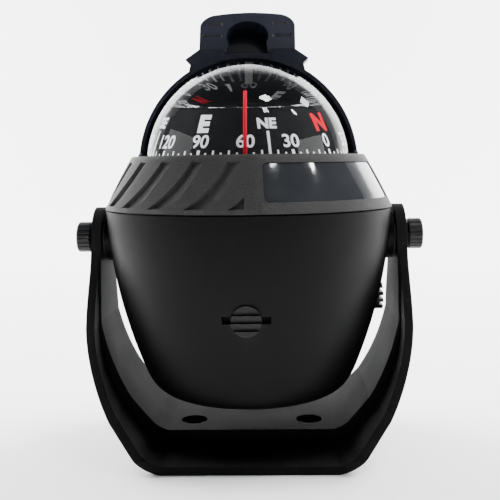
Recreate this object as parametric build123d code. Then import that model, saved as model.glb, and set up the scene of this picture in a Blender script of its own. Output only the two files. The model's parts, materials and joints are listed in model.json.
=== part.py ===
from build123d import *
from math import atan, cos, degrees, hypot, radians, sin, sqrt
import os

# ---------------------------------------------------------------- overall sizes (mm)
# The origin is midway between the two base screw holes, on the bracket's underside.
# +X runs to the right of someone reading the dial, +Y away from them, +Z up.
HEAD_R = 42.7            # widest radius of the head, at the joint of bowl and bezel
DOME_R = 30.5            # outside radius of the clear dome
DOME_Z = 84.0            # height of the dome's centre
PIVOT_Z = 62.3           # height of the tilt axis
SPLIT_Z = 71.0           # joint between bowl and bezel
BOWL_BOTTOM_Z = 16.6     # underside of the bowl
BEZEL_TOP_Z = 86.3
RUN_FIT = 0.06           # radial clearance of turning pins and shafts
SIDE_GAP = 0.6           # free gap each side of the head inside the bracket arms

# ---------------------------------------------------------------- bracket
ARM_WALL = 2.9
ARM_IN = HEAD_R - 0.1 + SIDE_GAP
ARM_OUT = ARM_IN + ARM_WALL
ARM_END_R = 9.0
BASE_HALF_DEPTH = 27.6
STEP_Y = -9.5            # front of the thicker band that runs round inside the bracket
FLANGE_WALL = 2.4
BAND_WALL = 6.6
BASE_HOLE_X = 17.3
BASE_HOLE_R = 2.3
STUD_R = 2.4
ARM_HOLE_R = STUD_R + 0.4

# ---------------------------------------------------------------- clamp knobs
KNOB_R = 4.55
KNOB_HEAD_L = 4.2
KNOB_NECK_R = 3.25
KNOB_NECK_L = 1.3
KNOB_RIBS = 22
BOSS_R = 7.3
WASHER_T = 0.5
INSERT_R = 4.0

# ---------------------------------------------------------------- bowl and bezel
BOWL_WALL = 2.2
BEZEL_SLOT_R = DOME_R + 3.2
GROOVE_STEP = 16.0
GROOVE_AZ = 5.5          # middle of the first groove
GROOVE_DEPTH = 1.8
GROOVE_STEP_DOWN = 0.55  # what is left of the depth at the groove's right edge
GROOVE_WIDE = 5.9
GROOVE_RUN = 10.6
GROOVE_BOW = 1.8
GROOVE_COUNT = 18
LAND_AZ = -0.2
PANEL_AZ = 7.0
PANEL_SWEEP = 69.0
PANEL_DEPTH = 1.2
PANEL_SINK = 0.25

# ---------------------------------------------------------------- dome and fluid capsule
DOME_WALL = 1.5
DOME_IN = DOME_R - DOME_WALL
FLANGE_R = DOME_R + 4.3
FLANGE_T = 2.4
FLANGE_Z = 75.2
CAPSULE_FLANGE_R = HEAD_R - 4.3
CAPSULE_FLANGE_T = 3.0
CAPSULE_WALL = 1.9
CAPSULE_FLOOR_Z = 54.0
FLOOR_T = 2.0
VENT_R = DOME_IN - 15.0

# ---------------------------------------------------------------- card and gimbals
GIMBAL_Z = DOME_Z - 4.0
CARD_SKIRT_R = DOME_R - 5.5
CARD_TOP_R = DOME_R - 11.7
CARD_SKIRT_Z = DOME_Z + 1.0
CARD_TOP_Z = DOME_Z + 13.3
CARD_T = 0.8
CARD_DISH = 1.3          # depth of the dial's middle below its rim
CARD_DISH_R = CARD_TOP_R - 9.0
CARD_RING_R = CARD_TOP_R - 5.5
CARD_HEADING = 60.0      # what the dial reads at the lubber line
RING_R = DOME_IN - 10.4
RING_T = 1.4
RING_H = 2.6
PIN_R = 0.8
FRAME_X = RING_R + 2.0
FRAME_T = 1.7

# ---------------------------------------------------------------- compensators
COMP_Z = 43.8
PLUG_R = 4.0
PLUG_FIT = 0.08
SLOT_HALF = 6.3
SLOT_H = 2.0
DRUM_R = 4.1

# ---------------------------------------------------------------- visor
VISOR_IN = DOME_R + 1.5
VISOR_T = 1.2
VISOR_OUT = VISOR_IN + VISOR_T
VISOR_PIN_R = 1.2
BRIM_HALF = 15.0
BRIM_LEAN = 38.0         # lean of the thumb brim back from upright
BRIM_T = 2.2


def disc(radius, z0, z1):
    return Pos(0, 0, (z0 + z1) / 2) * Cylinder(radius, z1 - z0)


def ring(r_out, r_in, z0, z1):
    return disc(r_out, z0, z1) - disc(r_in, z0 - 1, z1 + 1)


def rod_x(radius, x0, x1, z, y=0.0):
    return Pos((x0 + x1) / 2, y, z) * Rot(0, 90, 0) * Cylinder(radius, abs(x1 - x0))


def rod_y(radius, y0, y1, z, x=0.0):
    return Pos(x, (y0 + y1) / 2, z) * Rot(90, 0, 0) * Cylinder(radius, abs(y1 - y0))


def block(x0, x1, y0, y1, z0, z1):
    size = Box(x1 - x0, y1 - y0, z1 - z0)
    return Pos((x0 + x1) / 2, (y0 + y1) / 2, (z0 + z1) / 2) * size


def turned(face):
    return revolve(face, axis=Axis.Z)


def section(*points):
    """A closed straight-sided section in the XZ plane."""
    return make_face(Plane.XZ * Polyline(*points, close=True))


# ================================================================ bracket
def outline(walls):
    """Half outline of the U, from the flat of the floor up to the straight arm, set in by walls."""
    stations = [
        (0.52, 0.0, 0.0),
        (0.61, 0.024, 25.0),
        (0.70, 0.083, 48.0),
        (0.836, 0.213, 54.0),
        (0.943, 0.385, 70.0),
        (1.0, 0.61, 90.0),
    ]
    moved = []
    for (x, z, heading), wall in zip(stations, walls):
        turn = radians(heading)
        moved.append((x * ARM_OUT - wall * sin(turn), z * PIVOT_Z + wall * cos(turn)))
    return moved


def u_face(walls, top):
    """The area inside one half outline and its mirror image, up to the arm's top."""
    p = outline(walls)
    q = [(-x, z) for x, z in p]
    lines = [
        Line(q[0], p[0]),
        ThreePointArc(p[0], p[1], p[2]),
        Line(p[2], p[3]),
        ThreePointArc(p[3], p[4], p[5]),
        Line(p[5], (p[5][0], top)),
        Line((p[5][0], top), (q[5][0], top)),
        Line((q[5][0], top), q[5]),
        ThreePointArc(q[5], q[4], q[3]),
        Line(q[3], q[2]),
        ThreePointArc(q[2], q[1], q[0]),
    ]
    return make_face(Plane.XZ * Curve(lines))


def u_bar(walls, y0, y1, lift=0.0):
    """Everything inside one outline, between two depths."""
    solid = extrude(u_face(walls, PIVOT_Z + ARM_END_R + lift), y1 - y0)
    return Pos(0, y1, 0) * solid


def side_shape():
    """The bracket seen from the side: deep foot, waisted arms, round ends."""
    foot = BASE_HALF_DEPTH
    arm = ARM_END_R
    right = Spline(
        (foot, 0.06 * PIVOT_Z),
        (0.72 * foot, 0.4 * PIVOT_Z),
        (0.54 * foot, 0.72 * PIVOT_Z),
        (arm, PIVOT_Z),
        tangents=[(-0.35, 1), (0, 1)],
    )
    left = Spline(
        (-arm, PIVOT_Z),
        (-0.54 * foot, 0.72 * PIVOT_Z),
        (-0.72 * foot, 0.4 * PIVOT_Z),
        (-foot, 0.06 * PIVOT_Z),
        tangents=[(0, -1), (-0.35, -1)],
    )
    cap = ThreePointArc((arm, PIVOT_Z), (0, PIVOT_Z + arm), (-arm, PIVOT_Z))
    foot_lines = [
        Line((-foot, 0.06 * PIVOT_Z), (-foot + 0.8, -0.1)),
        Line((-foot + 0.8, -0.1), (foot - 0.8, -0.1)),
        Line((foot - 0.8, -0.1), (foot, 0.06 * PIVOT_Z)),
    ]
    face = make_face(Plane.YZ * Curve([right, cap, left] + foot_lines))
    return extrude(face, ARM_OUT + 5, both=True)


def mounting_bracket():
    deep = BASE_HALF_DEPTH + 1
    flange_walls = [FLANGE_WALL] * 6
    band_walls = [BAND_WALL, 6.2, 5.4, 4.8, 4.3, ARM_WALL]
    body = u_bar([0.0] * 6, -deep, deep) & side_shape()
    body -= u_bar(band_walls, -deep - 1, deep + 1, 1.0)
    body -= u_bar(flange_walls, -deep - 1, STEP_Y, 1.0)
    body -= rod_x(ARM_HOLE_R, -ARM_OUT - 1, ARM_OUT + 1, PIVOT_Z)
    for side in (-1, 1):
        spot = Pos(side * BASE_HOLE_X, 0, 0)
        body -= spot * disc(BASE_HOLE_R, -1, BAND_WALL + 1)
        body -= spot * disc(BASE_HOLE_R + 1.6, BAND_WALL - 1.2, BAND_WALL + 1)
    return body


# ================================================================ bowl
def bowl_side(inset):
    """Long convex side of the bowl: bottom corner, middle and joint, moved in by inset."""
    tall = SPLIT_Z - BOWL_BOTTOM_Z
    low = (0.745 * HEAD_R - 0.94 * inset, BOWL_BOTTOM_Z + 0.155 * tall + 0.34 * inset)
    mid = (0.915 * HEAD_R - 0.96 * inset, BOWL_BOTTOM_Z + 0.57 * tall + 0.25 * inset)
    top = (0.996 * HEAD_R - inset, SPLIT_Z)
    return low, mid, top


def bowl_face(inset):
    low, mid, top = bowl_side(inset)
    base = BOWL_BOTTOM_Z + inset
    flat = 0.50 * HEAD_R - inset
    side = ThreePointArc(low, mid, top)
    bend = side % 0
    lines = [
        Line((0, base), (flat, base)),
        Spline((flat, base), low, tangents=[(1, 0), (bend.X, bend.Y)]),
        side,
        Line(top, (0, SPLIT_Z)),
        Line((0, SPLIT_Z), (0, base)),
    ]
    return make_face(Plane.XZ * Curve(lines))


def plug_seat():
    """Round seat and cross bar for one compensator, on the reader's side of the bowl."""
    seat = rod_y(PLUG_R + PLUG_FIT, -HEAD_R, -0.6 * HEAD_R, COMP_Z)
    bar = block(-SLOT_HALF, SLOT_HALF, -HEAD_R, comp_face() + 3.0, COMP_Z - SLOT_H / 2, COMP_Z + SLOT_H / 2)
    return seat, bar


def comp_face():
    """Where the bowl's outside surface stands at the compensator's height."""
    low, mid, top = bowl_side(0.0)
    share = (COMP_Z - low[1]) / (mid[1] - low[1])
    return -(low[0] + (mid[0] - low[0]) * share + 0.35)


def bowl_housing():
    body = turned(bowl_face(0.0))
    for side in (-1, 1):
        body += rod_x(BOSS_R, side * 0.8 * HEAD_R, side * (ARM_IN - WASHER_T - 0.1), PIVOT_Z)
    hollow = turned(bowl_face(BOWL_WALL)) + disc(HEAD_R - 2.6, SPLIT_Z - 3.4, SPLIT_Z + 5)
    for side in (-1, 1):
        hollow -= rod_x(INSERT_R + 1.1, side * 0.78 * HEAD_R, side * HEAD_R, PIVOT_Z)
    for turn in (0, 90):
        seat, bar = plug_seat()
        pad = rod_y(PLUG_R + 2.2, -0.95 * HEAD_R, -0.76 * HEAD_R, COMP_Z)
        hollow -= Rot(0, 0, turn) * pad
    body -= hollow
    for turn in (0, 90):
        seat, bar = plug_seat()
        body -= Rot(0, 0, turn) * (seat + bar)
    for side in (-1, 1):
        body -= rod_x(INSERT_R, side * (0.8 * HEAD_R), side * (ARM_IN - WASHER_T - 0.8), PIVOT_Z)
        body -= rod_x(STUD_R + 0.3, side * 0.75 * HEAD_R, side * (ARM_IN + 1), PIVOT_Z)
    body -= ring(HEAD_R + 3, HEAD_R - 1.4, SPLIT_Z - 0.35, SPLIT_Z + 5)
    return body


# ================================================================ bezel
def bezel_arc(shift):
    """Sloping outside of the bezel, moved in or out along its own normal."""
    rise = BEZEL_TOP_Z - SPLIT_Z
    nr = 0.912 * shift
    nz = 0.41 * shift
    low = (HEAD_R + nr, SPLIT_Z + nz)
    mid = (HEAD_R - 3.5 + nr, SPLIT_Z + 0.47 * rise + nz)
    high = (DOME_R + 4.7 + nr, BEZEL_TOP_Z - 0.7 + nz)
    return low, mid, high


def bezel_band(shift_in, shift_out):
    """Section between two such curves."""
    low_in, mid_in, high_in = bezel_arc(shift_in)
    low_out, mid_out, high_out = bezel_arc(shift_out)
    lines = [
        ThreePointArc(low_out, mid_out, high_out),
        Line(high_out, high_in),
        ThreePointArc(high_in, mid_in, low_in),
        Line(low_in, low_out),
    ]
    return make_face(Plane.XZ * Curve(lines))


def panel_room():
    """The shallow room on the reader's right that the glossy blank drops into."""
    sector = revolve(bezel_band(-PANEL_DEPTH, 2.0), axis=Axis.Z, revolution_arc=PANEL_SWEEP)
    room = sector & ring(HEAD_R + 5, 10, SPLIT_Z + 2.9, BEZEL_TOP_Z - 2.3)
    corners = [e for e in room.edges() if 2.8 < e.length < 4.4]
    room = fillet(corners, 1.5)
    return Rot(0, 0, PANEL_AZ - 90) * room


def groove_cutter():
    """One slanted, bowed groove on the reader's side: deep at its left, a low step at its right."""
    half = 0.445 * (BEZEL_TOP_Z - SPLIT_Z)
    lean = radians(25.0)
    slant = atan(2 * half / GROOVE_RUN)
    tilt = atan((GROOVE_DEPTH - GROOVE_STEP_DOWN) / (GROOVE_WIDE * sin(slant)))
    skin = Plane(
        origin=(0, -(HEAD_R - 3.4), SPLIT_Z + 0.5 * (BEZEL_TOP_Z - SPLIT_Z)),
        x_dir=(1, 0, 0),
        z_dir=(0, -cos(lean), sin(lean)),
    )

    def turn(x, y):
        return (x * cos(slant) + y * sin(slant), y * cos(slant) - x * sin(slant))

    def edge(shift):
        bow_x = GROOVE_BOW * sin(slant)
        bow_y = -GROOVE_BOW * cos(slant)
        foot = turn(shift - GROOVE_RUN / 2, -half)
        top = turn(shift + GROOVE_RUN / 2, half)
        return foot, turn(shift + bow_x, bow_y), top

    left = edge(-GROOVE_WIDE / 2)
    right = edge(GROOVE_WIDE / 2)
    shape = Curve([
        ThreePointArc(*left),
        Line(left[2], right[2]),
        ThreePointArc(*reversed(right)),
        Line(right[0], left[0]),
    ])
    floor = skin.offset(-(GROOVE_DEPTH + GROOVE_STEP_DOWN) / 2).location
    spot = floor * Rot(0, 0, degrees(slant)) * Rot(-degrees(tilt), 0, 0)
    return extrude(spot * make_face(shape), 7.0)


def bezel_ring():
    low, mid, high = bezel_arc(0.0)
    slot = BEZEL_SLOT_R
    ledge = DOME_R + 0.6
    pocket = FLANGE_R + 0.3
    under = CAPSULE_FLANGE_R + 0.3
    lines = [
        ThreePointArc(low, mid, high),
        Polyline(
            high,
            (slot + 1.0, BEZEL_TOP_Z),
            (slot + 0.2, BEZEL_TOP_Z),
            (slot, BEZEL_TOP_Z - 0.3),
            (slot, FLANGE_Z + FLANGE_T + 2.0),
            (ledge, FLANGE_Z + FLANGE_T + 2.0),
            (ledge, FLANGE_Z + FLANGE_T),
            (pocket, FLANGE_Z + FLANGE_T),
            (pocket, FLANGE_Z),
            (under, FLANGE_Z),
            (under, SPLIT_Z - 3.0),
            (HEAD_R - 2.7, SPLIT_Z - 3.0),
            (HEAD_R - 2.7, SPLIT_Z),
            low,
        ),
    ]
    body = turned(make_face(Plane.XZ * Curve(lines)))
    sweep = 360 - (PANEL_AZ + PANEL_SWEEP + 8) + LAND_AZ
    zone = revolve(section((15, 60), (60, 60), (60, 100), (15, 100)), axis=Axis.Z, revolution_arc=sweep)
    zone = Rot(0, 0, LAND_AZ - 90 - sweep) * zone
    for i in range(GROOVE_COUNT):
        body -= (Rot(0, 0, GROOVE_AZ - GROOVE_STEP * i) * groove_cutter()) & zone
    body -= panel_room()
    for side in (-1, 1):
        body -= rod_x(VISOR_PIN_R, side * (slot - 1), side * (slot + 2.2), DOME_Z)
    for turn in range(4):
        body -= Rot(0, 0, 45 + 90 * turn) * screw_shank()
    return body


def bezel_panel():
    face = bezel_band(-PANEL_DEPTH, -PANEL_SINK)
    skin = revolve(face, axis=Axis.Z, revolution_arc=PANEL_SWEEP)
    return (Rot(0, 0, PANEL_AZ - 90) * skin) & panel_room()


# ================================================================ dome and capsule
def dome():
    outer = [
        Line((0, DOME_Z + DOME_IN), (0, DOME_Z + DOME_R)),
        ThreePointArc(
            (0, DOME_Z + DOME_R),
            (DOME_R * sin(radians(45)), DOME_Z + DOME_R * cos(radians(45))),
            (DOME_R, DOME_Z),
        ),
        Polyline(
            (DOME_R, DOME_Z),
            (DOME_R, FLANGE_Z + FLANGE_T),
            (FLANGE_R, FLANGE_Z + FLANGE_T),
            (FLANGE_R, FLANGE_Z),
            (DOME_IN, FLANGE_Z),
            (DOME_IN, DOME_Z),
        ),
        ThreePointArc(
            (DOME_IN, DOME_Z),
            (DOME_IN * sin(radians(45)), DOME_Z + DOME_IN * cos(radians(45))),
            (0, DOME_Z + DOME_IN),
        ),
    ]
    return turned(make_face(Plane.XZ * Curve(outer)))


def dome_gasket():
    return ring(DOME_R + 2.9, DOME_R + 1.5, FLANGE_Z - 1.0, FLANGE_Z)


def screw_shank():
    return Pos(FLANGE_R + 2.1, 0, 0) * disc(1.0, FLANGE_Z - CAPSULE_FLANGE_T, FLANGE_Z + 2.8)


def capsule_screws():
    under = FLANGE_Z - CAPSULE_FLANGE_T
    head = Pos(FLANGE_R + 2.1, 0, 0) * disc(1.5, under - 1.6, under)
    cross = Pos(FLANGE_R + 2.1, 0, under - 1.6) * (Box(2.0, 0.5, 1.4) + Box(0.5, 2.0, 1.4))
    one = head + screw_shank() - cross
    return Compound(children=[Rot(0, 0, 45 + 90 * turn) * one for turn in range(4)])


def fluid_capsule():
    floor = CAPSULE_FLOOR_Z
    body = disc(CAPSULE_FLANGE_R, FLANGE_Z - CAPSULE_FLANGE_T, FLANGE_Z)
    body += disc(DOME_IN + CAPSULE_WALL, floor - FLOOR_T, FLANGE_Z)
    body -= disc(DOME_IN, floor, FLANGE_Z + 1)
    body -= disc(VENT_R, floor - FLOOR_T - 1, floor + 1)
    body -= ring(DOME_R + 2.9, DOME_R + 1.5, FLANGE_Z - 1.0, FLANGE_Z + 1)
    body -= Pos(0, filler_y(), 0) * disc(2.0, floor - FLOOR_T - 1, floor + 1)
    for turn in range(4):
        body -= Rot(0, 0, 45 + 90 * turn) * screw_shank()
        body -= Rot(0, 0, 45 + 90 * turn) * clamp_shank()
    return body


def filler_y():
    return DOME_IN - 3.6


def filler_plug():
    floor = CAPSULE_FLOOR_Z
    plug = disc(2.0, floor - FLOOR_T, floor) + disc(3.0, floor - FLOOR_T - 1.8, floor - FLOOR_T)
    plug -= Pos(0, 0, floor - FLOOR_T - 1.8) * Box(4.4, 0.8, 1.6)
    return Pos(0, filler_y(), 0) * plug


def expansion_diaphragm():
    top = CAPSULE_FLOOR_Z - FLOOR_T
    skin = disc(VENT_R + 5, top - 0.8, top)
    skin += ring(VENT_R - 2.0, VENT_R - 4.0, top - 0.1, top + 1.0)
    for turn in range(4):
        skin -= Rot(0, 0, 45 + 90 * turn) * clamp_shank()
    return skin


def clamp_shank():
    top = CAPSULE_FLOOR_Z - FLOOR_T
    return Pos(VENT_R + 3.0, 0, 0) * disc(0.8, top - 3.0, top + 1.6)


def diaphragm_clamp():
    top = CAPSULE_FLOOR_Z - FLOOR_T - 0.8
    body = ring(VENT_R + 6, VENT_R - 0.5, top - 1.4, top)
    for turn in range(4):
        body -= Rot(0, 0, 45 + 90 * turn) * clamp_shank()
    return body


def clamp_screws():
    under = CAPSULE_FLOOR_Z - FLOOR_T - 2.2
    shank = clamp_shank() & block(0, 40, -5, 5, under, under + 20)
    head = Pos(VENT_R + 3.0, 0, 0) * disc(1.5, under - 0.9, under)
    slot = Pos(VENT_R + 3.0, 0, under - 0.9) * Box(2.4, 0.5, 0.8)
    one = shank + head - slot
    return Compound(children=[Rot(0, 0, 45 + 90 * turn) * one for turn in range(4)])


# ================================================================ gimbals and card
def gimbal_frame():
    floor = CAPSULE_FLOOR_Z
    body = ring(FRAME_X + FRAME_T + 1.2, VENT_R + 1.0, floor, floor + 2.0)
    for side in (-1, 1):
        inner = side * FRAME_X
        outer = side * (FRAME_X + FRAME_T)
        post = block(min(inner, outer), max(inner, outer), -3.0, 3.0, floor + 1, GIMBAL_Z)
        post += rod_x(2.4, inner, outer, GIMBAL_Z)
        body += post - rod_x(PIN_R + RUN_FIT, side * (FRAME_X - 1), side * (FRAME_X + FRAME_T + 1), GIMBAL_Z)
    for turn in range(4):
        body -= Rot(0, 0, 45 + 90 * turn) * clamp_shank()
    return body


def outer_gimbal():
    body = ring(RING_R, RING_R - RING_T, GIMBAL_Z - RING_H / 2, GIMBAL_Z + RING_H / 2)
    body -= rod_x(PIN_R, -RING_R - 1, RING_R + 1, GIMBAL_Z)
    body -= rod_y(PIN_R, -RING_R - 1, RING_R + 1, GIMBAL_Z)
    return body


def outer_gimbal_pins():
    pins = [rod_x(PIN_R, s * (RING_R - RING_T + 0.1), s * (FRAME_X + FRAME_T), GIMBAL_Z) for s in (-1, 1)]
    return Compound(children=pins)


def inner_gimbal_pins():
    reach = RING_R - RING_T
    pins = [rod_y(PIN_R, s * (reach - 4.0), s * (RING_R - 0.1), GIMBAL_Z) for s in (-1, 1)]
    return Compound(children=pins)


def inner_gimbal():
    reach = RING_R - RING_T - 0.6
    body = block(-2.4, 2.4, -reach, reach, GIMBAL_Z - 1.3, GIMBAL_Z + 1.3)
    body += disc(4.0, GIMBAL_Z - 3.0, GIMBAL_Z + 2.0)
    body += disc(1.8, GIMBAL_Z - 15.0, GIMBAL_Z - 2.0)
    for side in (-1, 1):
        body -= rod_y(PIN_R + RUN_FIT, side * (reach - 4.2), side * (reach + 1), GIMBAL_Z)
    body -= disc(0.8, GIMBAL_Z - 1.0, GIMBAL_Z + 3.0)
    return body


def balance_weight():
    return ring(8.6, 1.8, GIMBAL_Z - 14.6, GIMBAL_Z - 9.0)


def cup_z():
    """Height of the needle's point."""
    return CARD_TOP_Z - 5.6


def pivot_post():
    tip = cup_z()
    shape = section(
        (0, GIMBAL_Z - 1.0),
        (0.8, GIMBAL_Z - 1.0),
        (0.8, tip - 2.4),
        (0.12, tip),
        (0, tip),
    )
    return turned(shape)


def rear_lubber():
    """Grey pointer on the gimbal: under the card's skirt, up behind it and over its rim."""
    low = GIMBAL_Z + 2.0
    out = CARD_SKIRT_R + 1.5
    over = CARD_TOP_Z + 1.3
    back = CARD_TOP_R + 2.4
    tip = CARD_TOP_R - 8.0
    shape = Polyline(
        (3.0, low - 1.0),
        (out + 0.9, low - 0.0),
        (out + 1.3, low + 1.0),
        (back + 1.0, over + 1.3),
        (tip, over + 1.3),
        (tip, over - 0.5),
        (tip + 1.2, over - 0.5),
        (tip + 1.2, over + 0.2),
        (back + 0.2, over + 0.2),
        (out + 0.1, low + 1.2),
        (3.0, low + 0.3),
        close=True,
    )
    arm = extrude(make_face(Plane.YZ * shape), 0.65, both=True)
    arm -= disc(4.0, GIMBAL_Z - 5, GIMBAL_Z + 2.0)
    return arm - block(-3, 3, -1, RING_R - 2.0, GIMBAL_Z - 2, GIMBAL_Z + 1.3)


def compass_card():
    """Dished dial with a sloping skirt, read from above and from the side."""
    top = CARD_TOP_Z
    dish = top - CARD_DISH
    t = CARD_T
    shape = section(
        (2.4, dish),
        (CARD_DISH_R, dish),
        (CARD_RING_R, top - 0.1),
        (CARD_TOP_R - 0.5, top),
        (CARD_TOP_R, top),
        (CARD_SKIRT_R, CARD_SKIRT_Z),
        (CARD_SKIRT_R - 0.9 * t, CARD_SKIRT_Z),
        (CARD_TOP_R - t, top - t),
        (CARD_RING_R, top - 0.1 - t),
        (CARD_DISH_R, dish - t),
        (2.4, dish - t),
    )
    return turned(shape)


def card_float():
    top = CARD_TOP_Z - CARD_DISH - CARD_T
    shape = section(
        (2.4, top),
        (0.5 * CARD_TOP_R, top),
        (0.72 * CARD_TOP_R, top - 1.2),
        (0.72 * CARD_TOP_R, top - 4.2),
        (0.6 * CARD_TOP_R, top - 5.6),
        (4.4, top - 5.6),
        (2.4, top - 3.2),
    )
    return turned(shape)


def jewel_cup():
    top = CARD_TOP_Z - CARD_DISH
    shape = section(
        (0, top + 0.5),
        (1.6, top + 0.5),
        (2.4, top),
        (2.4, cup_z() - 0.9),
        (1.7, cup_z() - 0.9),
        (0.3, cup_z() + 0.15),
        (0, cup_z() + 0.2),
    )
    return turned(shape)


def card_magnets():
    top = CARD_TOP_Z - CARD_DISH - CARD_T - 5.6
    bars = []
    for side in (-1, 1):
        bars.append(block(side * 7.6 - 1.3, side * 7.6 + 1.3, -8.0, 8.0, top - 2.4, top))
    return Compound(children=[Rot(0, 0, -CARD_HEADING) * bar for bar in bars])


def lubber_ring():
    """Ring under the dome that holds the steering mark, split at the back to spring into place."""
    body = ring(DOME_IN, DOME_IN - 2.2, FLANGE_Z - 3.0, FLANGE_Z - 0.2)
    body -= block(-3.6, 3.6, 0, DOME_IN + 1, FLANGE_Z - 4, FLANGE_Z + 1)
    return body - Pos(0, -lubber_r(), 0) * disc(0.5, FLANGE_Z - 2.0, FLANGE_Z + 1)


def lubber_r():
    return DOME_IN - 1.7


def lubber_line():
    """Red steering mark: a thin rod up the reader's side of the card, bent to the dome."""
    r = lubber_r()
    rise = radians(44)
    path = Curve([
        Line((0, -r, FLANGE_Z - 2.0), (0, -r, DOME_Z)),
        ThreePointArc(
            (0, -r, DOME_Z),
            (0, -r * cos(rise / 2), DOME_Z + r * sin(rise / 2)),
            (0, -r * cos(rise), DOME_Z + r * sin(rise)),
        ),
    ])
    start = Plane(origin=(0, -r, FLANGE_Z - 2.0), z_dir=(0, 0, 1))
    return sweep(start * Circle(0.5), path=path)


# ================================================================ compensators
def compensator():
    """Plug with four bars across its face, its shaft and the drum that carries the magnet."""
    face = comp_face()
    body = rod_y(PLUG_R, face - 0.3, face + 6.0, COMP_Z)
    knob = rod_y(PLUG_R, face - 1.5, face - 0.2, COMP_Z)
    for step in (-1, 0, 1):
        middle = COMP_Z + step * 2.0
        knob -= block(-PLUG_R, PLUG_R, face - 2, face - 0.25, middle - 0.5, middle + 0.5)
    body += knob
    body += rod_y(1.8, face + 5.0, -13.0, COMP_Z)
    body += rod_y(DRUM_R, -27.0, -17.0, COMP_Z)
    body -= Pos(0, -22, COMP_Z) * Cylinder(1.5, 20)
    return body


def compensator_magnet():
    return Pos(0, -22, COMP_Z) * Cylinder(1.5, 2 * DRUM_R - 0.4)


def compensator_cradle():
    """Block under the capsule that carries the inner ends of both compensator shafts."""
    top = CAPSULE_FLOOR_Z - FLOOR_T - 2.2
    body = disc(15.5, COMP_Z - 5.0, top - 0.9)
    body += disc(VENT_R + 0.8, top - 1.0, top)
    for turn in (0, 90):
        body -= Rot(0, 0, turn) * rod_y(1.8 + RUN_FIT, -18.0, -12.4, COMP_Z)
    body -= disc(7.5, COMP_Z - 6, top + 1)
    return body


# ================================================================ tilt clamps
def clamp_knob():
    """Ribbed knob on the right-hand arm; the left one is its mirror image."""
    start = ARM_OUT + 0.08
    head0 = start + KNOB_NECK_L
    head1 = head0 + KNOB_HEAD_L
    body = rod_x(KNOB_NECK_R, start, head0 + 0.5, PIVOT_Z)
    head = rod_x(KNOB_R, head0, head1, PIVOT_Z)
    head = chamfer(head.edges().filter_by(GeomType.CIRCLE), 0.4)
    for i in range(KNOB_RIBS):
        angle = 360 / KNOB_RIBS * i
        flute = rod_x(0.32, head0 - 1, head1 + 1, 0, KNOB_R + 0.08)
        head -= Pos(0, 0, PIVOT_Z) * Rot(angle, 0, 0) * flute
    body += head
    return body - rod_x(STUD_R, start - 1, head1 - 1.6, PIVOT_Z)


def clamp_stud():
    start = 0.8 * HEAD_R
    return rod_x(STUD_R, start, ARM_OUT + 0.08 + KNOB_NECK_L + KNOB_HEAD_L - 1.6, PIVOT_Z)


def mirrored(shape):
    return mirror(shape, about=Plane.YZ)


def pivot_insert():
    outer = ARM_IN - WASHER_T - 0.8
    body = rod_x(INSERT_R, 0.8 * HEAD_R, outer, PIVOT_Z)
    return body - rod_x(STUD_R + RUN_FIT, 0.7 * HEAD_R, ARM_OUT, PIVOT_Z)


def friction_washer():
    face = ARM_IN - WASHER_T - 0.1
    body = rod_x(BOSS_R - 0.8, face, face + WASHER_T, PIVOT_Z)
    return body - rod_x(STUD_R + 0.3, face - 1, face + 2, PIVOT_Z)


def both_sides(shape):
    return Compound(children=[shape, mirrored(shape)])


# ================================================================ visor
def brim_plane():
    """Front face of the thumb brim, leaning back from the top of the visor."""
    lean = radians(BRIM_LEAN)
    return Plane(
        origin=(0, 7.0, DOME_Z + VISOR_OUT + 0.2),
        x_dir=(1, 0, 0),
        z_dir=(0, -cos(lean), sin(lean)),
    )


def brim_face(half, tall, corner):
    """Plate outline: straight sides, round upper corners and a slightly arched top."""
    lines = [
        Line((-half, -2.0), (half, -2.0)),
        Line((half, -2.0), (half + 0.3, tall - corner - 1.4)),
        ThreePointArc(
            (half + 0.3, tall - corner - 1.4),
            (half - 0.29 * corner, tall - 0.29 * corner - 1.2),
            (half - corner, tall - 0.9),
        ),
        ThreePointArc((half - corner, tall - 0.9), (0, tall), (-half + corner, tall - 0.9)),
        ThreePointArc(
            (-half + corner, tall - 0.9),
            (-half + 0.29 * corner, tall - 0.29 * corner - 1.2),
            (-half - 0.3, tall - corner - 1.4),
        ),
        Line((-half - 0.3, tall - corner - 1.4), (-half, -2.0)),
    ]
    return make_face(Curve(lines))


def arch_face(half, tall):
    """Bell-shaped outline of the thumb recess."""
    lines = [
        Line((-half, -2.0), (half, -2.0)),
        Line((half, -2.0), (0.86 * half, 0.4 * tall)),
        ThreePointArc((0.86 * half, 0.4 * tall), (0, tall), (-0.86 * half, 0.4 * tall)),
        Line((-0.86 * half, 0.4 * tall), (-half, -2.0)),
    ]
    return make_face(Curve(lines))


def visor_brow():
    """Roof over the front edge of the visor, drawn out to a point each side."""
    over = DOME_Z + VISOR_OUT
    tip = 0.565 * VISOR_OUT
    shape = Polyline(
        (tip, over - 1.4),
        (BRIM_HALF - 0.6, over + 1.6),
        (-BRIM_HALF + 0.6, over + 1.6),
        (-tip, over - 1.4),
        (-tip + 1.6, over - 3.0),
        (-tip + 1.1, over - 4.9),
        (-tip + 4.0, over - 7.0),
        (tip - 4.0, over - 7.0),
        (tip - 1.1, over - 4.9),
        (tip - 1.6, over - 3.0),
        close=True,
    )
    roof = extrude(Plane.XZ * make_face(shape), -9.0)
    return Pos(0, 0.8, 0) * roof


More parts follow.
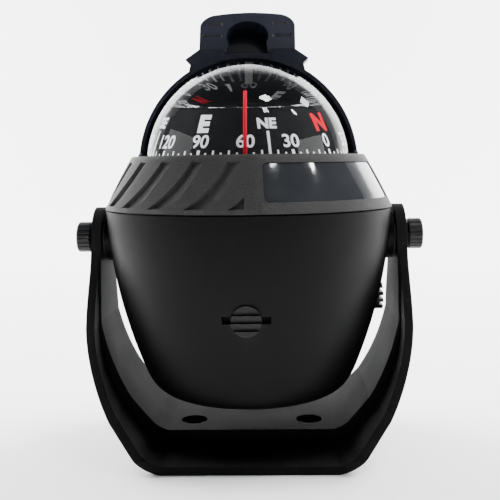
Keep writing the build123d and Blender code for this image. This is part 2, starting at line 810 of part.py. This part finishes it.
def visor_hood():
    shell = Pos(0, 0, DOME_Z) * Sphere(VISOR_OUT)
    rear = block(-60, 60, 0.8, 60, DOME_Z, DOME_Z + 60)
    body = shell & (rear + rod_x(3.4, -60, 60, DOME_Z))
    plane = brim_plane()
    tall = 20.2
    body += visor_brow()
    body += extrude(plane * brim_face(BRIM_HALF, tall, 5.0), -BRIM_T)
    body += extrude(plane * arch_face(8.6, tall - 2.4), -7.0)
    body -= extrude(plane * arch_face(7.0, tall - 4.2), -5.6)
    body -= block(-7.0, 7.0, 0, 8.0, DOME_Z + VISOR_OUT + 0.1, DOME_Z + VISOR_OUT + 3.0)
    for side in (-1, 1):
        for low, middle, long in ((9.3, 9.9, 5.0), (14.9, 9.2, 3.6)):
            slot = SlotOverall(long + 1.6, 1.7)
            cut = extrude(slot, 8, both=True)
            body -= plane * Pos(side * (middle + 1.4), low, 0) * cut
    body -= Pos(0, 0, DOME_Z) * Sphere(VISOR_IN)
    for side in (-1, 1):
        body -= rod_x(VISOR_PIN_R + RUN_FIT, side * (VISOR_IN - 3), side * (VISOR_OUT + 2), DOME_Z)
    return body


def visor_pins():
    pin = rod_x(VISOR_PIN_R, VISOR_IN - 0.8, BEZEL_SLOT_R + 2.2, DOME_Z)
    return both_sides(pin)


PARTS = {
    "mounting_bracket": mounting_bracket,
    "bowl_housing": bowl_housing,
    "bezel_ring": bezel_ring,
    "bezel_panel": bezel_panel,
    "dome": dome,
    "dome_gasket": dome_gasket,
    "fluid_capsule": fluid_capsule,
    "capsule_screws": capsule_screws,
    "filler_plug": filler_plug,
    "expansion_diaphragm": expansion_diaphragm,
    "diaphragm_clamp": diaphragm_clamp,
    "clamp_screws": clamp_screws,
    "gimbal_frame": gimbal_frame,
    "outer_gimbal": outer_gimbal,
    "outer_gimbal_pins": outer_gimbal_pins,
    "inner_gimbal_pins": inner_gimbal_pins,
    "inner_gimbal": inner_gimbal,
    "balance_weight": balance_weight,
    "pivot_post": pivot_post,
    "rear_lubber": rear_lubber,
    "compass_card": compass_card,
    "card_float": card_float,
    "jewel_cup": jewel_cup,
    "card_magnets": card_magnets,
    "lubber_ring": lubber_ring,
    "lubber_line": lubber_line,
    "front_compensator": compensator,
    "front_compensator_magnet": compensator_magnet,
    "side_compensator": lambda: Rot(0, 0, 90) * compensator(),
    "side_compensator_magnet": lambda: Rot(0, 0, 90) * compensator_magnet(),
    "compensator_cradle": compensator_cradle,
    "right_clamp_knob": clamp_knob,
    "left_clamp_knob": lambda: mirrored(clamp_knob()),
    "right_clamp_stud": clamp_stud,
    "left_clamp_stud": lambda: mirrored(clamp_stud()),
    "pivot_inserts": lambda: both_sides(pivot_insert()),
    "friction_washers": lambda: both_sides(friction_washer()),
    "visor_hood": visor_hood,
    "visor_pins": visor_pins,
}


def main():
    os.makedirs("parts", exist_ok=True)
    for name, make in PARTS.items():
        shape = make()
        export_step(shape, "parts/" + name + ".step")
        print(name, round(shape.volume, 1), len(shape.solids()))


main()
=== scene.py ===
import bpy
import bmesh
import json
import math
from mathutils import Matrix, Vector


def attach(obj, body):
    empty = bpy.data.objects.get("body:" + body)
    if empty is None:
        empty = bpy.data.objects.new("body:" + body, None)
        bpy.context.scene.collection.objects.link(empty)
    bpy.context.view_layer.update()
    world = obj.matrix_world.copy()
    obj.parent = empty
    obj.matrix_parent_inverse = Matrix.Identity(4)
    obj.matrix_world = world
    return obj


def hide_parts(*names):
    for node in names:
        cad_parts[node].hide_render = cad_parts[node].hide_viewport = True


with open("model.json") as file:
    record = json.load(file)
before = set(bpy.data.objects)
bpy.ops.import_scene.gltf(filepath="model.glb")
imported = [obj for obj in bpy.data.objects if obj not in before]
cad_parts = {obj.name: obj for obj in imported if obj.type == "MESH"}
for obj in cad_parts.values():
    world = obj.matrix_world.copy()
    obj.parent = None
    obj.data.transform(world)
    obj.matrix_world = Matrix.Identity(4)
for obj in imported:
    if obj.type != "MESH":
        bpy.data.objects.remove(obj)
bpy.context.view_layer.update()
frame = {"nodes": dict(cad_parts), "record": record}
NODES = frame["nodes"]
MM = 0.001

# ---------------------------------------------------------------- sizes shared with the solids, in mm
DOME_R = 30.5
DOME_Z = 84.0
CARD_SKIRT_R = 25.0
CARD_SKIRT_Z = 85.0
CARD_TOP_R = 18.8
CARD_TOP_Z = 97.3
CARD_DISH = 1.3
CARD_DISH_R = CARD_TOP_R - 9.0
CARD_RING_R = CARD_TOP_R - 5.5
FLUID_FLOOR_Z = 54.3
FLUID_R = 29.15
COLLAR_LOW_Z = 75.25
COLLAR_R = 34.75
COLLAR_TOP_Z = 77.55

# ---------------------------------------------------------------- sizes of the look
HEADING = 60.0              # the number that stands at the reader's mark
LIP_WIDE = 0.42             # raised lip round the dial
LIP_TALL = 0.62
SKIRT_LIFT = 0.05           # print stands this far off the card
TOP_LIFT = 0.08


# ================================================================ node helpers
class Shader:
    """A small builder for one procedural material."""

    def __init__(self, name):
        self.mat = bpy.data.materials.new(name)
        self.mat.use_nodes = True
        self.nt = self.mat.node_tree
        self.nt.nodes.clear()
        self.out = self.nt.nodes.new("ShaderNodeOutputMaterial")
        self.bsdf = self.nt.nodes.new("ShaderNodeBsdfPrincipled")
        self.link(self.bsdf.outputs["BSDF"], self.out.inputs["Surface"])
        coords = self.nt.nodes.new("ShaderNodeTexCoord")
        self.coord = coords.outputs["Object"]

    def link(self, a, b):
        self.nt.links.new(a, b)

    def noise(self, scale, detail=2.0, rough=0.5, stretch=None):
        """Noise in object space; scale is in lumps per metre."""
        node = self.nt.nodes.new("ShaderNodeTexNoise")
        node.inputs["Scale"].default_value = scale
        node.inputs["Detail"].default_value = detail
        node.inputs["Roughness"].default_value = rough
        source = self.coord
        if stretch:
            mapping = self.nt.nodes.new("ShaderNodeMapping")
            mapping.inputs["Scale"].default_value = stretch
            self.link(self.coord, mapping.inputs["Vector"])
            source = mapping.outputs["Vector"]
        self.link(source, node.inputs["Vector"])
        return node.outputs["Fac"]

    def remap(self, value, lo, hi, to_lo, to_hi):
        node = self.nt.nodes.new("ShaderNodeMapRange")
        node.inputs["From Min"].default_value = lo
        node.inputs["From Max"].default_value = hi
        node.inputs["To Min"].default_value = to_lo
        node.inputs["To Max"].default_value = to_hi
        self.link(value, node.inputs["Value"])
        return node.outputs["Result"]

    def math(self, op, a, b):
        node = self.nt.nodes.new("ShaderNodeMath")
        node.operation = op
        for socket, value in zip(node.inputs, (a, b)):
            if isinstance(value, (int, float)):
                socket.default_value = value
            else:
                self.link(value, socket)
        return node.outputs["Value"]

    def mix(self, fac, a, b):
        node = self.nt.nodes.new("ShaderNodeMix")
        node.data_type = "RGBA"
        self.link(fac, node.inputs[0])
        for socket, value in ((node.inputs[6], a), (node.inputs[7], b)):
            if isinstance(value, tuple):
                socket.default_value = (*value, 1.0)
            else:
                self.link(value, socket)
        return node.outputs[2]

    def wear(self, lo=0.52, hi=0.62):
        """Mask of sharp outer edges."""
        geo = self.nt.nodes.new("ShaderNodeNewGeometry")
        return self.remap(geo.outputs["Pointiness"], lo, hi, 0.0, 1.0)

    def normal(self, height, distance, strength=1.0, bevel=0.0):
        """Bump from a height, over edges rounded to the bevel radius, all in metres."""
        bump = self.nt.nodes.new("ShaderNodeBump")
        bump.inputs["Distance"].default_value = distance
        bump.inputs["Strength"].default_value = strength
        self.link(height, bump.inputs["Height"])
        if bevel:
            soft = self.nt.nodes.new("ShaderNodeBevel")
            soft.samples = 4
            soft.inputs["Radius"].default_value = bevel
            self.link(soft.outputs["Normal"], bump.inputs["Normal"])
        self.link(bump.outputs["Normal"], self.bsdf.inputs["Normal"])

    def set(self, **values):
        """Sets inputs of the shader by name, from a number, a colour or another node."""
        for key, value in values.items():
            socket = self.bsdf.inputs[key.replace("_", " ")]
            if isinstance(value, (int, float)):
                socket.default_value = value
            elif isinstance(value, tuple):
                socket.default_value = (*value, 1.0)
            else:
                self.link(value, socket)


def plastic(name, color, rough, grain, depth, shine, bevel=0.00025, dust=0.03):
    """Moulded plastic: fine spark grain, cloudy gloss, faint dust and paler worn edges."""
    s = Shader(name)
    pale = tuple(c * 1.7 + 0.0005 for c in color)
    cloud = s.noise(55.0, 3.0, 0.55)
    speck = s.noise(grain, 2.0, 0.6)
    fine = s.noise(grain * 2.7, 1.0, 0.5)
    tone = s.mix(s.remap(cloud, 0.35, 0.65, 0.0, 0.3), color, pale)
    tone = s.mix(s.math("MULTIPLY", s.wear(), 0.5), tone, tuple(c * 2.5 + 0.004 for c in color))
    tone = s.mix(s.remap(s.noise(900.0, 4.0, 0.7), 0.55, 0.80, 0.0, dust), tone, (0.25, 0.24, 0.23))
    matt = s.remap(cloud, 0.3, 0.7, rough - 0.04, rough + 0.05)
    s.set(Base_Color=tone, Roughness=s.math("ADD", matt, s.remap(speck, 0.3, 0.7, -0.04, 0.04)))
    s.set(Specular_IOR_Level=shine)
    s.normal(s.math("ADD", speck, s.math("MULTIPLY", fine, 0.6)), depth, 1.0, bevel)
    return s.mat


def piano_black(name):
    """Polished blank: very smooth, with faint orange peel, smears and hairlines."""
    s = Shader(name)
    peel = s.noise(420.0, 1.0, 0.4)
    smear = s.noise(70.0, 4.0, 0.6, (1.0, 1.0, 2.2))
    hair = s.noise(900.0, 2.0, 0.7, (0.08, 0.08, 1.6))
    rough = s.math("ADD", s.remap(smear, 0.35, 0.75, 0.05, 0.14), s.remap(hair, 0.62, 0.8, 0.0, 0.10))
    tone = s.mix(s.remap(smear, 0.4, 0.8, 0.0, 0.5), (0.012, 0.013, 0.015), (0.020, 0.021, 0.024))
    s.set(Base_Color=tone, Roughness=rough, Coat_Weight=1.0, Coat_Roughness=0.04)
    s.normal(peel, 0.00002, 0.5)
    return s.mat


def metal(name, color, rough):
    """Bare metal, unevenly polished and a little stained."""
    s = Shader(name)
    grain = s.noise(600.0, 3.0, 0.6)
    stain = s.noise(140.0, 4.0, 0.6)
    tone = s.mix(s.remap(stain, 0.4, 0.7, 0.0, 0.5), color, tuple(c * 0.72 for c in color))
    s.set(Base_Color=tone, Roughness=s.remap(grain, 0.3, 0.7, rough - 0.07, rough + 0.12), Metallic=1.0)
    s.normal(grain, 0.00002, 0.6, 0.0001)
    return s.mat


def rubber(name):
    """Matt dark rubber or fibre with a pale bloom."""
    s = Shader(name)
    grain = s.noise(1500.0, 3.0, 0.6)
    bloom = s.noise(120.0, 4.0, 0.6)
    tone = s.mix(s.remap(bloom, 0.45, 0.75, 0.0, 0.5), (0.022, 0.022, 0.022), (0.06, 0.06, 0.058))
    s.set(Base_Color=tone, Roughness=s.remap(grain, 0.3, 0.7, 0.6, 0.8))
    s.normal(grain, 0.00003, 0.7)
    return s.mat


def enamel(name, color, rough=0.45, shine=0.06):
    """Print or enamel in the fluid, which takes most of its shine: a slightly uneven ink film."""
    s = Shader(name)
    film = s.noise(1800.0, 3.0, 0.6)
    fade = s.noise(180.0, 3.0, 0.5)
    tone = s.mix(s.remap(fade, 0.4, 0.7, 0.0, 0.35), color, tuple(c * 0.82 for c in color))
    s.set(Base_Color=tone, Roughness=s.remap(film, 0.3, 0.7, rough - 0.05, rough + 0.1))
    s.set(Specular_IOR_Level=shine)
    s.normal(film, 0.00001, 0.5)
    return s.mat


def card_black(name):
    """Dial: near-black ink on a moulded card, its shine taken away by the fluid, and faint dust."""
    s = Shader(name)
    film = s.noise(2200.0, 3.0, 0.6)
    cloud = s.noise(90.0, 3.0, 0.5)
    dust = s.remap(s.noise(700.0, 4.0, 0.7), 0.66, 0.8, 0.0, 0.12)
    tone = s.mix(s.remap(cloud, 0.4, 0.7, 0.0, 0.6), (0.004, 0.004, 0.004), (0.008, 0.008, 0.008))
    tone = s.mix(dust, tone, (0.04, 0.04, 0.04))
    s.set(Base_Color=tone, Roughness=s.remap(film, 0.3, 0.7, 0.45, 0.6), Specular_IOR_Level=0.03)
    s.normal(film, 0.00001, 0.6)
    return s.mat


def clear_fluid(name):
    """Polished clear dome with the fluid behind it, faintly smeared outside."""
    s = Shader(name)
    smear = s.noise(60.0, 4.0, 0.6)
    speck = s.noise(1500.0, 2.0, 0.5)
    rough = s.math("ADD", s.remap(smear, 0.5, 0.8, 0.0, 0.006), s.remap(speck, 0.72, 0.80, 0.0, 0.01))
    s.set(Base_Color=(0.94, 0.955, 1.0), Roughness=rough, IOR=1.47, Transmission_Weight=1.0)
    s.normal(smear, 0.000005, 0.1)
    through = s.nt.nodes.new("ShaderNodeBsdfTransparent")
    through.inputs["Color"].default_value = (0.93, 0.94, 0.95, 1.0)
    path = s.nt.nodes.new("ShaderNodeLightPath")
    either = s.nt.nodes.new("ShaderNodeMixShader")
    blocked = s.math("MAXIMUM", path.outputs["Is Shadow Ray"], path.outputs["Is Diffuse Ray"])
    s.link(blocked, either.inputs["Fac"])
    s.link(s.bsdf.outputs["BSDF"], either.inputs[1])
    s.link(through.outputs["BSDF"], either.inputs[2])
    s.link(either.outputs["Shader"], s.out.inputs["Surface"])
    return s.mat


# one material for each slot of the record, and the two inks of the dial
MATS = {
    "bracket_plastic": plastic("bracket_plastic", (0.0034, 0.0034, 0.0034), 0.60, 2300.0, 0.00008, 0.012),
    "bowl_plastic": plastic(
        "bowl_plastic", (0.0007, 0.0007, 0.0007), 0.46, 3200.0, 0.00002, 0.07, dust=0.002
    ),
    "bezel_plastic": plastic("bezel_plastic", (0.0220, 0.0220, 0.0215), 0.48, 1700.0, 0.00016, 0.12),
    "panel_plastic": piano_black("panel_plastic"),
    "dome_clear": clear_fluid("dome_clear"),
    "seal_rubber": rubber("seal_rubber"),
    "capsule_plastic": plastic(
        "capsule_plastic", (0.004, 0.004, 0.004), 0.6, 1800.0, 0.00004, 0.03, dust=0.0
    ),
    "steel": metal("steel", (0.56, 0.56, 0.57), 0.28),
    "brass": metal("brass", (0.72, 0.55, 0.27), 0.26),
    "gimbal_plastic": plastic(
        "gimbal_plastic", (0.005, 0.005, 0.005), 0.6, 2000.0, 0.00004, 0.03, dust=0.0
    ),
    "card_plastic": card_black("card_plastic"),
    "float_plastic": plastic("float_plastic", (0.45, 0.45, 0.43), 0.6, 1500.0, 0.00003, 0.05),
    "magnet_metal": metal("magnet_metal", (0.20, 0.20, 0.21), 0.5),
    "lubber_red": enamel("lubber_red", (0.42, 0.003, 0.016)),
    "lubber_grey": enamel("lubber_grey", (0.50, 0.48, 0.43)),
    "knob_plastic": plastic("knob_plastic", (0.0050, 0.0050, 0.0054), 0.38, 2600.0, 0.00004, 0.20, 0.00012),
    "washer_fibre": rubber("washer_fibre"),
    "plug_plastic": plastic("plug_plastic", (0.0016, 0.0016, 0.0016), 0.42, 2600.0, 0.00004, 0.20, 0.00012),
    "visor_plastic": plastic("visor_plastic", (0.0035, 0.0042, 0.0080), 0.48, 2300.0, 0.00006, 0.16),
    "print_white": enamel("print_white", (0.82, 0.83, 0.82)),
    "print_red": enamel("print_red", (0.45, 0.004, 0.016)),
}

for sub in frame["record"]["subparts"]:
    node = NODES[sub["node"]]
    node.data.materials.clear()
    node.data.materials.append(MATS[sub["material_slot"]])


# ================================================================ mesh helpers
def add_piece(name, mesh, material, body):
    obj = bpy.data.objects.new(name, mesh)
    bpy.context.scene.collection.objects.link(obj)
    mesh.materials.clear()
    mesh.materials.append(MATS[material])
    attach(obj, body)
    return obj


def lathe(name, profile, steps=128):
    """Closed body of revolution about Z through (radius, height) points in millimetres."""
    bm = bmesh.new()
    rings = []
    for r, z in profile:
        if r < 1e-6:
            rings.append([bm.verts.new((0, 0, z * MM))])
            continue
        ring = []
        for i in range(steps):
            a = 2 * math.pi * i / steps
            ring.append(bm.verts.new((r * MM * math.cos(a), r * MM * math.sin(a), z * MM)))
        rings.append(ring)
    for low, high in zip(rings, rings[1:]):
        for i in range(steps):
            j = (i + 1) % steps
            if len(low) == 1:
                bm.faces.new((low[0], high[i], high[j]))
            elif len(high) == 1:
                bm.faces.new((low[i], low[j], high[0]))
            else:
                bm.faces.new((low[i], low[j], high[j], high[i]))
    bmesh.ops.remove_doubles(bm, verts=bm.verts, dist=1e-7)
    bmesh.ops.recalc_face_normals(bm, faces=bm.faces)
    mesh = bpy.data.meshes.new(name)
    bm.to_mesh(mesh)
    bm.free()
    return mesh


def smooth(mesh, angle=40):
    mesh.polygons.foreach_set("use_smooth", [True] * len(mesh.polygons))
    mesh.set_sharp_from_angle(angle=math.radians(angle))


# ================================================================ dome and fluid as one clear body
def dome_lens():
    """Fluid in its capsule, the dome's collar and the dome, as one solid of clear material."""
    edge_round = 0.05
    profile = [
        (0.0, FLUID_FLOOR_Z),
        (FLUID_R, FLUID_FLOOR_Z),
        (FLUID_R, COLLAR_LOW_Z),
        (COLLAR_R, COLLAR_LOW_Z),
        (COLLAR_R + edge_round, COLLAR_TOP_Z),
        (DOME_R, COLLAR_TOP_Z + edge_round),
    ]
    steps = 48
    for i in range(steps + 1):
        a = math.pi / 2 * i / steps
        profile.append((DOME_R * math.cos(a), DOME_Z + DOME_R * math.sin(a)))
    profile[-1] = (0.0, DOME_Z + DOME_R)
    mesh = lathe("dome_lens", profile, 192)
    smooth(mesh, 30)
    obj = add_piece("dome_lens", mesh, "dome_clear", "head")
    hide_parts("dome")


dome_lens()


# ================================================================ raised lip round the dial
def card_lip():
    """Rounded lip on the dial's rim, which hides the near half of the dished face."""
    outer = CARD_TOP_R
    inner = CARD_TOP_R - LIP_WIDE
    foot = CARD_TOP_Z - 0.06
    crest = CARD_TOP_Z + LIP_TALL
    shoulder = crest - 0.14
    profile = [
        (inner, foot),
        (outer - 0.02, foot),
        (outer - 0.05, shoulder),
        (outer - 0.14, crest),
        (inner + 0.12, crest),
        (inner + 0.02, shoulder),
        (inner, foot),
    ]
    mesh = lathe("card_lip", profile, 128)
    smooth(mesh, 60)
    add_piece("card_lip", mesh, "card_plastic", "card")


card_lip()


# ================================================================ dial print
def skirt_point(phi, z, lift):
    """A point on the sloping skirt: phi in degrees from the reader's side towards the right."""
    share = (z - CARD_SKIRT_Z) / (CARD_TOP_Z - CARD_SKIRT_Z)
    r = CARD_SKIRT_R + (CARD_TOP_R - CARD_SKIRT_R) * share + lift
    a = math.radians(phi)
    return Vector((r * math.sin(a), -r * math.cos(a), z + lift * 0.5)) * MM


def top_point(phi, r, lift):
    """A point on the dished top of the dial."""
    share = max(0.0, min(1.0, (r - CARD_DISH_R) / (CARD_RING_R - CARD_DISH_R)))
    rim = max(0.0, (r - CARD_RING_R) / (CARD_TOP_R - 0.5 - CARD_RING_R))
    z = CARD_TOP_Z - CARD_DISH + (CARD_DISH - 0.1) * share + 0.1 * rim + lift
    a = math.radians(phi)
    return Vector((r * math.sin(a), -r * math.cos(a), z)) * MM


# height gained per millimetre along the skirt's slope
UP = (CARD_TOP_Z - CARD_SKIRT_Z) / math.hypot(CARD_TOP_Z - CARD_SKIRT_Z, CARD_SKIRT_R - CARD_TOP_R)


def flat_text(text, tall, bold, squeeze):
    """Flat label, centred, tall mm high and finely divided; bold swells it, squeeze scales its width."""
    curve = bpy.data.curves.new("label", "FONT")
    curve.body = text
    curve.align_x = "CENTER"
    curve.size = 1.0
    curve.offset = bold
    curve.resolution_u = 6
    holder = bpy.data.objects.new("label", curve)
    bpy.context.scene.collection.objects.link(holder)
    depsgraph = bpy.context.evaluated_depsgraph_get()
    mesh = bpy.data.meshes.new_from_object(holder.evaluated_get(depsgraph))
    bpy.data.objects.remove(holder)
    bpy.data.curves.remove(curve)
    bm = bmesh.new()
    bm.from_mesh(mesh)
    bpy.data.meshes.remove(mesh)
    ys = [v.co.y for v in bm.verts]
    xs = [v.co.x for v in bm.verts]
    scale = tall / (max(ys) - min(ys))
    mid_y = (max(ys) + min(ys)) / 2
    mid_x = (max(xs) + min(xs)) / 2
    for v in bm.verts:
        v.co = Vector(((v.co.x - mid_x) * scale * squeeze, (v.co.y - mid_y) * scale, 0.0))
    bmesh.ops.triangulate(bm, faces=bm.faces)
    for _ in range(3):
        long_edges = [e for e in bm.edges if e.calc_length() > 0.9]
        if long_edges:
            bmesh.ops.subdivide_edges(bm, edges=long_edges, cuts=1)
            bmesh.ops.triangulate(bm, faces=bm.faces)
    return bm


def bar(width, tall, taper=1.0):
    """Flat upright mark, centred, divided along its height; taper widens or narrows its upper end."""
    bm = bmesh.new()
    rows = []
    steps = 8
    for i in range(steps + 1):
        share = i / steps
        half = width / 2 * (1 + (taper - 1) * share)
        y = -tall / 2 + tall * share
        rows.append([bm.verts.new((k * half, y, 0)) for k in (-1, 0, 1)])
    for low, high in zip(rows, rows[1:]):
        for k in (0, 1):
            bm.faces.new((low[k], low[k + 1], high[k + 1], high[k]))
    return bm


def lay(bm, phi, base, side, target):
    """Wraps one flat mark on the skirt or the top, lifted a hair, and joins it to target."""
    moved = {}
    for v in bm.verts:
        u, w = v.co.x, v.co.y
        if side == "skirt":
            z = base + w * UP
            share = (z - CARD_SKIRT_Z) / (CARD_TOP_Z - CARD_SKIRT_Z)
            r = CARD_SKIRT_R + (CARD_TOP_R - CARD_SKIRT_R) * share
            point = skirt_point(phi + math.degrees(u / r), z, SKIRT_LIFT)
        else:
            r = base + w
            point = top_point(phi - math.degrees(u / r), r, TOP_LIFT)
        moved[v] = target.verts.new(point)
    for f in bm.faces:
        corners = [moved[v] for v in f.verts]
        if target.faces.get(corners) is None:
            target.faces.new(corners)
    bm.free()


def mark_sizes(h):
    """Width and length of the mark at h degrees, on the skirt and on the top."""
    if h % 30 == 0:
        return (0.85, 2.4), (0.50, 2.8)
    if h % 10 == 0:
        return (0.50, 2.3), (0.45, 2.8)
    return (0.50, 1.7), (0.38, 2.5)


def dial_print():
    """Degree marks, numbers and letters, once on the skirt and once, turned about, on the top."""
    mark_foot_z = CARD_SKIRT_Z + 0.05
    number_z = DOME_Z + 5.5
    letter_z = DOME_Z + 9.9
    pointer_z = DOME_Z + 4.75
    mark_end_r = CARD_TOP_R - 0.6
    number_r = 13.8
    letter_r = 10.4
    pointer_r = 13.1
    white = bmesh.new()
    red = bmesh.new()
    for h in range(0, 360, 5):
        (skirt_wide, skirt_tall), (top_wide, top_tall) = mark_sizes(h)
        lay(bar(skirt_wide, skirt_tall), HEADING - h, mark_foot_z + skirt_tall / 2, "skirt", white)
        lay(bar(top_wide, top_tall), HEADING + 180 - h, mark_end_r - top_tall / 2, "top", white)
    for h in range(0, 360, 30):
        lay(flat_text(str(h), 3.7, 0.022, 0.98), HEADING - h, number_z, "skirt", white)
        lay(flat_text(str(h), 2.4, 0.02, 0.9), HEADING + 180 - h, number_r, "top", white)
    for h, letter in ((0, "N"), (90, "E"), (180, "S"), (270, "W")):
        ink = red if letter == "N" else white
        lay(flat_text(letter, 5.0, 0.06, 1.0), HEADING - h, letter_z, "skirt", ink)
        lay(flat_text(letter, 3.2, 0.05, 1.0), HEADING + 180 - h, letter_r, "top", ink)
    for h, pair in ((45, "NE"), (135, "SE"), (225, "SW"), (315, "NW")):
        lay(flat_text(pair, 3.0, 0.045, 1.0), HEADING - h, letter_z, "skirt", white)
        lay(bar(0.70, 7.2), HEADING - h, pointer_z, "skirt", white)
        lay(bar(0.35, 2.6, 2.6), HEADING + 180 - h, pointer_r, "top", white)
    inks = (("card_print_white", white, "print_white"), ("card_print_red", red, "print_red"))
    for name, bm, ink in inks:
        bmesh.ops.recalc_face_normals(bm, faces=bm.faces)
        mesh = bpy.data.meshes.new(name)
        bm.to_mesh(mesh)
        bm.free()
        add_piece(name, mesh, ink, "card")


dial_print()


# ================================================================ stage, lights and camera
def stage_material():
    s = Shader("paper_floor")
    mottle = s.noise(6.0, 3.0, 0.5)
    fibre = s.noise(900.0, 2.0, 0.5)
    paper = s.mix(mottle, (0.93, 0.93, 0.93), (0.96, 0.96, 0.96))
    s.set(Base_Color=paper, Roughness=s.remap(fibre, 0.3, 0.7, 0.6, 0.8))
    s.normal(fibre, 0.00002, 0.4)
    return s.mat


def sweep():
    """Pale floor that curves up behind the object."""
    bm = bmesh.new()
    rows = [(-1.4, 0.0), (0.5, 0.0)]
    for i in range(1, 13):
        a = math.pi / 2 * i / 12
        rows.append((0.5 + 0.5 * math.sin(a), 0.5 - 0.5 * math.cos(a)))
    rows.append((1.0, 2.0))
    lines = []
    for y, z in rows:
        lines.append([bm.verts.new((x, y, z)) for x in (-2.0, 0.0, 2.0)])
    for a, b in zip(lines, lines[1:]):
        for k in (0, 1):
            bm.faces.new((a[k], a[k + 1], b[k + 1], b[k]))
    mesh = bpy.data.meshes.new("sweep")
    bm.to_mesh(mesh)
    bm.free()
    smooth(mesh, 60)
    mesh.materials.append(stage_material())
    obj = bpy.data.objects.new("sweep", mesh)
    bpy.context.scene.collection.objects.link(obj)


def softbox(name, place, aim, wide, tall, power, shiny=True):
    """Rectangular lamp at place, facing aim, in metres and watts; shiny ones show as highlights."""
    light = bpy.data.lights.new(name, "AREA")
    light.shape = "RECTANGLE"
    light.size = wide
    light.size_y = tall
    light.energy = power
    obj = bpy.data.objects.new(name, light)
    obj.location = place
    obj.rotation_euler = (Vector(aim) - Vector(place)).to_track_quat("-Z", "Y").to_euler()
    obj.visible_glossy = shiny
    bpy.context.scene.collection.objects.link(obj)


def around(azimuth, far, height):
    """A place at this azimuth from the reader's side, positive to the right."""
    a = math.radians(azimuth)
    return (far * math.sin(a), -far * math.cos(a), height)


def lights():
    """Lamps and windows round the dome, two lamps on the backdrop and a pale sky."""
    middle = Vector((0, 0, DOME_Z * MM))
    # name, azimuth and rise in degrees, distance, width, height, power
    lamps = (
        ("lamp_high", 52, 70, 0.90, 0.12, 0.12, 2.4),
        ("lamp_right", 76, 46, 0.85, 0.04, 0.08, 0.7),
        ("lamp_behind", 110, 45, 0.85, 0.13, 0.10, 1.0),
        ("lamp_near", 33, 57, 0.90, 0.07, 0.10, 0.8),
        ("window_left", -84, 8, 0.80, 0.60, 0.50, 1.6),
        ("window_right", 76, 6, 0.90, 0.60, 0.50, 2.5),
    )
    for name, azimuth, rise, far, wide, tall, power in lamps:
        flat = far * math.cos(math.radians(rise))
        place = around(azimuth, flat, middle.z + far * math.sin(math.radians(rise)))
        softbox(name, place, middle, wide, tall, power)
    for name, side in (("backdrop_left", -1), ("backdrop_right", 1)):
        softbox(name, (0.8 * side, 0.45, 0.9), (0.0, 0.75, 0.0), 0.8, 0.8, 54.0, shiny=False)
    world = bpy.data.worlds.new("studio")
    world.use_nodes = True
    back = world.node_tree.nodes["Background"]
    back.inputs["Color"].default_value = (0.86, 0.92, 1.0, 1.0)
    back.inputs["Strength"].default_value = 0.20
    bpy.context.scene.world = world


def camera():
    """Close level view from the reader's side; the shift keeps uprights parallel."""
    yaw = math.radians(1.5)
    roll = math.radians(0.8)
    far = 0.240
    height = 0.0835
    data = bpy.data.cameras.new("camera")
    data.sensor_width = 36.0
    data.lens = 57.096
    data.shift_x = 0.0038
    data.shift_y = -0.1702
    data.clip_start = 0.01
    obj = bpy.data.objects.new("camera", data)
    obj.location = (far * math.sin(yaw), -far * math.cos(yaw), height)
    turn = Matrix.Rotation(yaw, 4, "Z") @ Matrix.Rotation(math.pi / 2, 4, "X")
    turn = turn @ Matrix.Rotation(-roll, 4, "Z")
    obj.rotation_euler = turn.to_euler()
    bpy.context.scene.collection.objects.link(obj)
    bpy.context.scene.camera = obj


sweep()
lights()
camera()
